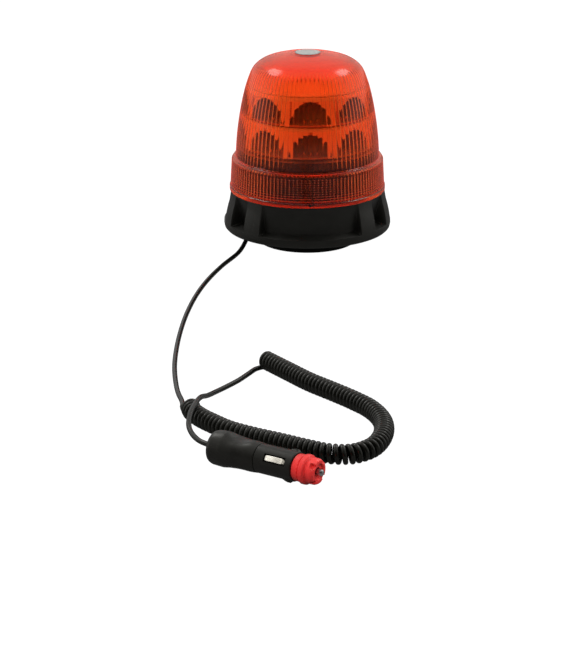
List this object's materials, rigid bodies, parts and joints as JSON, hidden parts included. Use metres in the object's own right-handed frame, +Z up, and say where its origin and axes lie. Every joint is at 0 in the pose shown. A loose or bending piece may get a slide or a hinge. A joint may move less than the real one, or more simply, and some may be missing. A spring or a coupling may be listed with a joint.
{
  "type": "magnetic-base warning beacon",
  "caption": "Magnetic-base amber warning beacon: fluted dome lens over tiered LED reflectors, round black base, curly cord and a lighter plug with a pull-off adapter.",
  "frame": {"origin": "centre of the rubber foot's underside, on the surface that the beacon stands on", "axes": "+Z up through the dome; -Y towards the side where the cord and plug lie; +X to the right seen from there"},
  "size_m": [0.1828, 0.6686, 0.1734],
  "materials": {
    "amber_lens": "clear red-amber polycarbonate, gloss outside, fluted inside",
    "label_film": "pale grey-white film, satin",
    "black_plastic": "moulded black plastic, fine satin grain",
    "black_rubber": "moulded black rubber",
    "cord_jacket": "black PVC or polyurethane jacket, satin",
    "black_aluminium": "black anodised or painted die-cast aluminium",
    "bare_aluminium": "machined",
    "zinc_steel": "zinc-plated",
    "ferrite": "sintered ferrite, dark grey",
    "mirror_coat": "vacuum-metallised plastic",
    "circuit_board": "black-green solder mask",
    "led_body": "phosphor-yellow silicone on a white package",
    "green_plastic": "terminal block green",
    "nickel": "nickel-plated spring strip",
    "red_plastic": "moulded red plastic, satin",
    "fuse_glass": "glass tube with plated caps"
  },
  "bodies": {
    "root": {"lens_dome": "amber_lens", "top_label": "label_film", "lens_gasket": "black_rubber", "base_housing": "black_plastic", "base_plate": "black_aluminium", "rubber_boot": "black_rubber", "magnet_pot": "zinc_steel", "magnet_ring": "ferrite", "magnet_bolt": "zinc_steel", "magnet_nut": "zinc_steel", "magnet_spacer": "zinc_steel", "heat_sink_drum": "black_aluminium", "heat_sink_core": "bare_aluminium", "led_board_lower": "circuit_board", "led_board_upper": "circuit_board", "reflector_lower": "mirror_coat", "reflector_upper": "mirror_coat", "reflector_cap": "mirror_coat", "core_screw": "zinc_steel", "driver_board": "circuit_board", "terminal_block": "green_plastic", "cable_gland": "black_rubber", "cord_lead": "cord_jacket", "cord_curl": "cord_jacket", "cord_tail": "cord_jacket", "plug_grip": "black_plastic", "plug_barrel": "black_plastic", "plug_cord_bush": "black_rubber", "plug_screw": "zinc_steel", "fuse_spring": "zinc_steel", "glass_fuse": "fuse_glass", "lens_screw_1": "zinc_steel", "base_screw_1": "zinc_steel", "drum_screw_1": "zinc_steel", "lens_screw_2": "zinc_steel", "base_screw_2": "zinc_steel", "drum_screw_2": "zinc_steel", "lens_screw_3": "zinc_steel", "base_screw_3": "zinc_steel", "drum_screw_3": "zinc_steel", "led_lower_1": "led_body", "led_lower_2": "led_body", "led_lower_3": "led_body", "led_lower_4": "led_body", "led_lower_5": "led_body", "led_lower_6": "led_body", "led_lower_7": "led_body", "led_lower_8": "led_body", "led_upper_1": "led_body", "led_upper_2": "led_body", "led_upper_3": "led_body", "led_upper_4": "led_body", "led_upper_5": "led_body", "led_upper_6": "led_body", "led_upper_7": "led_body", "led_upper_8": "led_body"},
    "pin": {"centre_pin": "zinc_steel"},
    "near_contact": {"side_contact_near": "nickel"},
    "far_contact": {"side_contact_far": "nickel"},
    "adapter": {"adapter_sleeve": "red_plastic"}
  },
  "joints": [
    {"name": "centre_pin_press", "type": "slide", "parent": "root", "child": "pin", "axis": [-0.8387, 0.5446, 0], "range_m": [0, 0.0025], "stiffness_N_per_m": 2000, "springref_m": -0.0015},
    {"name": "near_contact_press", "type": "slide", "parent": "root", "child": "near_contact", "axis": [0.4668, 0.7189, -0.515], "range_m": [0, 0.0013], "stiffness_N_per_m": 3000, "springref_m": -0.001},
    {"name": "far_contact_press", "type": "slide", "parent": "root", "child": "far_contact", "axis": [-0.4668, -0.7189, 0.515], "range_m": [0, 0.0013], "stiffness_N_per_m": 3000, "springref_m": -0.001},
    {"name": "adapter_pull", "type": "slide", "parent": "root", "child": "adapter", "axis": [0.8387, -0.5446, 0], "range_m": [0, 0.026]}
  ]
}
